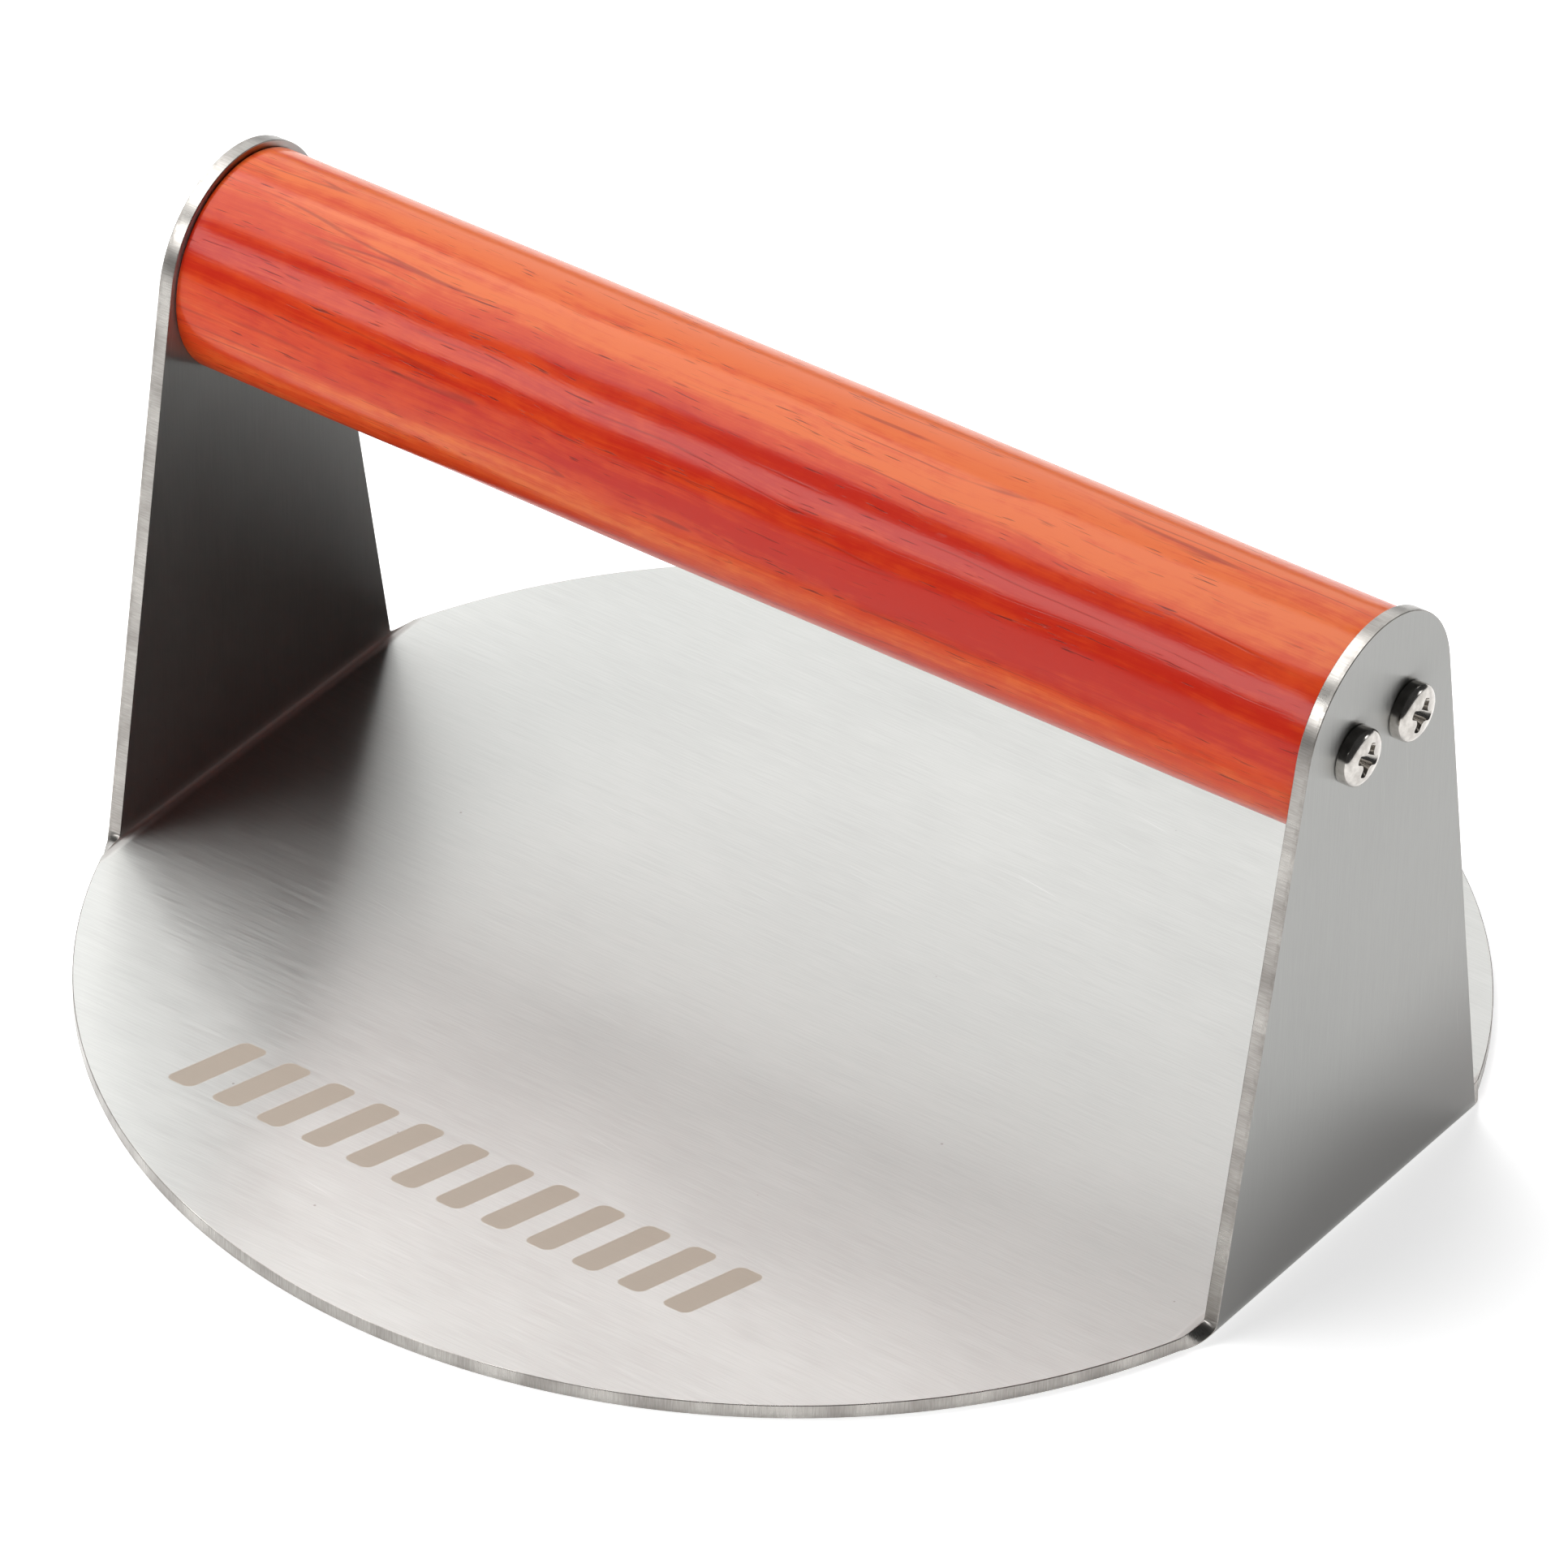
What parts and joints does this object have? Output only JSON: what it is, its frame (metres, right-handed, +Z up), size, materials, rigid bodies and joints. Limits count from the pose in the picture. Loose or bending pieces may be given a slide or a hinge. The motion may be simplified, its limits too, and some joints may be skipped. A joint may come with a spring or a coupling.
{
  "type": "round griddle press",
  "caption": "Round sheet-steel griddle press: flat disc with upright tabs folded from the same sheet and a wooden dowel handle screwed between them.",
  "frame": {"origin": "centre of the disc's underside, on the surface that the press rests on", "axes": "+X along the handle's axis towards the right tab, +Y towards the back, +Z up out of the disc"},
  "size_m": [0.1646, 0.165, 0.0837],
  "materials": {
    "brushed_stainless": "brushed along the handle's direction",
    "stained_wood": "red-orange stain under a satin lacquer",
    "polished_screw": "polished nickel plating"
  },
  "bodies": {
    "root": {"press_plate": "brushed_stainless", "handle": "stained_wood", "screw_right_front": "polished_screw", "screw_right_back": "polished_screw", "screw_left_front": "polished_screw", "screw_left_back": "polished_screw"}
  },
  "joints": []
}
